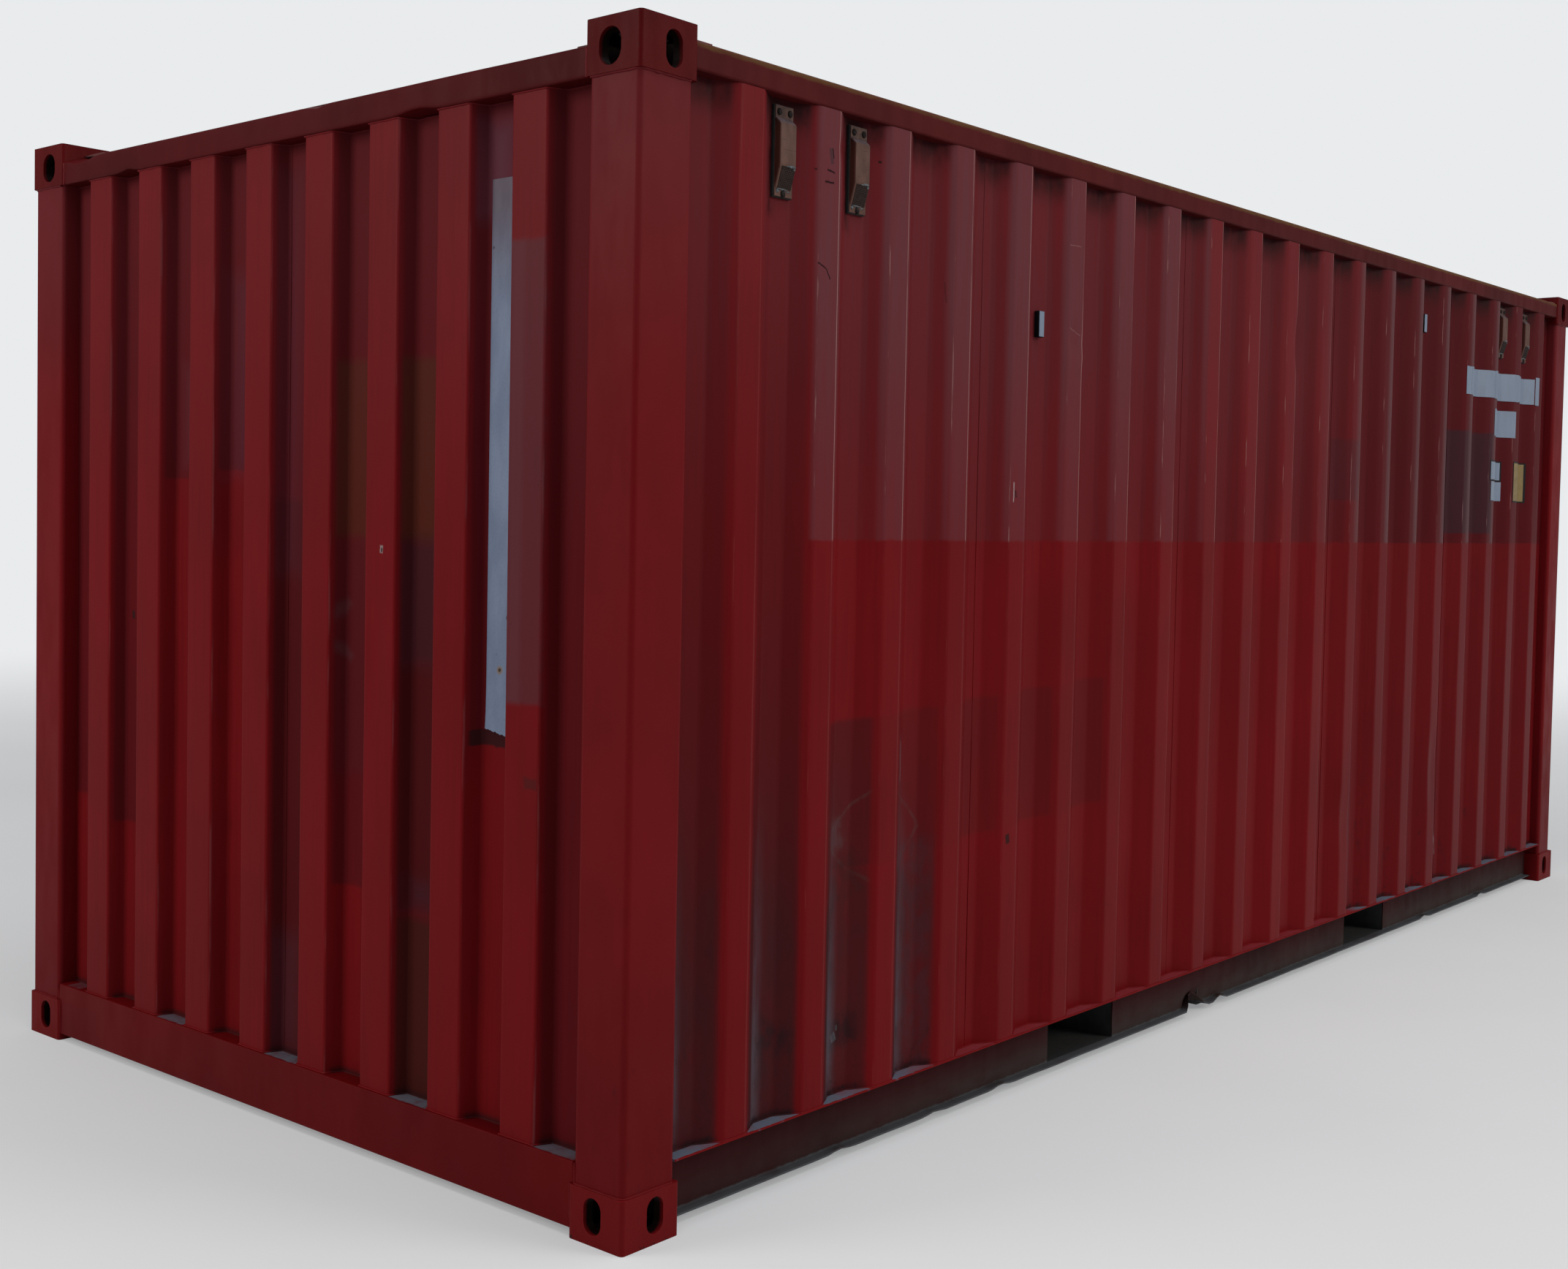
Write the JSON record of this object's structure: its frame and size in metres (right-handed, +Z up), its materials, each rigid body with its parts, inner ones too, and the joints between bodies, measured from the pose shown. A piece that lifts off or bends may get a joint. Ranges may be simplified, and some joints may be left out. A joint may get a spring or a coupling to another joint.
{
  "type": "shipping container",
  "caption": "Hollow steel freight box with corrugated walls, cast corner fittings, fork tunnels under a plywood floor and closed double doors at one end.",
  "frame": {"origin": "middle of the base, on the plane under the four bottom fittings", "axes": "+X along the length towards the doors, +Y across towards the right side, as seen from the doors looking to the blind end, +Z up"},
  "size_m": [6.058, 2.438, 2.591],
  "materials": {
    "fitting_paint": "red paint over cast steel, chipped at the lower edges",
    "frame_paint": "satin red paint, touched up",
    "side_wall_paint": "weathered red paint, paler and duller towards the top",
    "end_wall_paint": "red paint with older dull paint in the hollows",
    "rail_paint": "dusty dark red paint",
    "roof_paint": "weathered red paint",
    "door_paint": "satin red paint",
    "zinc_plated_gear": "dull hot-dip zinc",
    "gasket_rubber": "matt black",
    "floor_plywood": "oiled plywood",
    "underframe_coating": "dark waxy underbody coating",
    "vent_plastic": "aged brown moulded plastic"
  },
  "bodies": {
    "root": {"cam_keepers": "zinc_plated_gear", "door_gaskets": "gasket_rubber", "door_header": "frame_paint", "door_sill": "frame_paint", "floor": "floor_plywood", "floor_cross_members": "underframe_coating", "front_end_wall": "end_wall_paint", "front_fork_pocket": "underframe_coating", "front_header_rail": "frame_paint", "front_left_bottom_fitting": "fitting_paint", "front_left_post": "frame_paint", "front_left_top_fitting": "fitting_paint", "front_right_bottom_fitting": "fitting_paint", "front_right_post": "frame_paint", "front_right_top_fitting": "fitting_paint", "front_sill": "frame_paint", "left_bottom_rail": "rail_paint", "left_door_brackets": "zinc_plated_gear", "left_door_frame": "door_paint", "left_door_handles": "zinc_plated_gear", "left_door_panel": "door_paint", "left_hinge_blades": "zinc_plated_gear", "left_locking_bars": "zinc_plated_gear", "left_side_wall": "side_wall_paint", "left_top_rail": "frame_paint", "left_ventilators": "vent_plastic", "rear_fork_pocket": "underframe_coating", "rear_left_bottom_fitting": "fitting_paint", "rear_left_post": "frame_paint", "rear_left_top_fitting": "fitting_paint", "rear_right_bottom_fitting": "fitting_paint", "rear_right_post": "frame_paint", "rear_right_top_fitting": "fitting_paint", "right_bottom_rail": "rail_paint", "right_door_brackets": "zinc_plated_gear", "right_door_frame": "door_paint", "right_door_handles": "zinc_plated_gear", "right_door_panel": "door_paint", "right_hinge_blades": "zinc_plated_gear", "right_locking_bars": "zinc_plated_gear", "right_side_wall": "side_wall_paint", "right_top_rail": "frame_paint", "right_ventilators": "vent_plastic", "roof": "roof_paint", "roof_corner_plates": "roof_paint"}
  },
  "joints": []
}
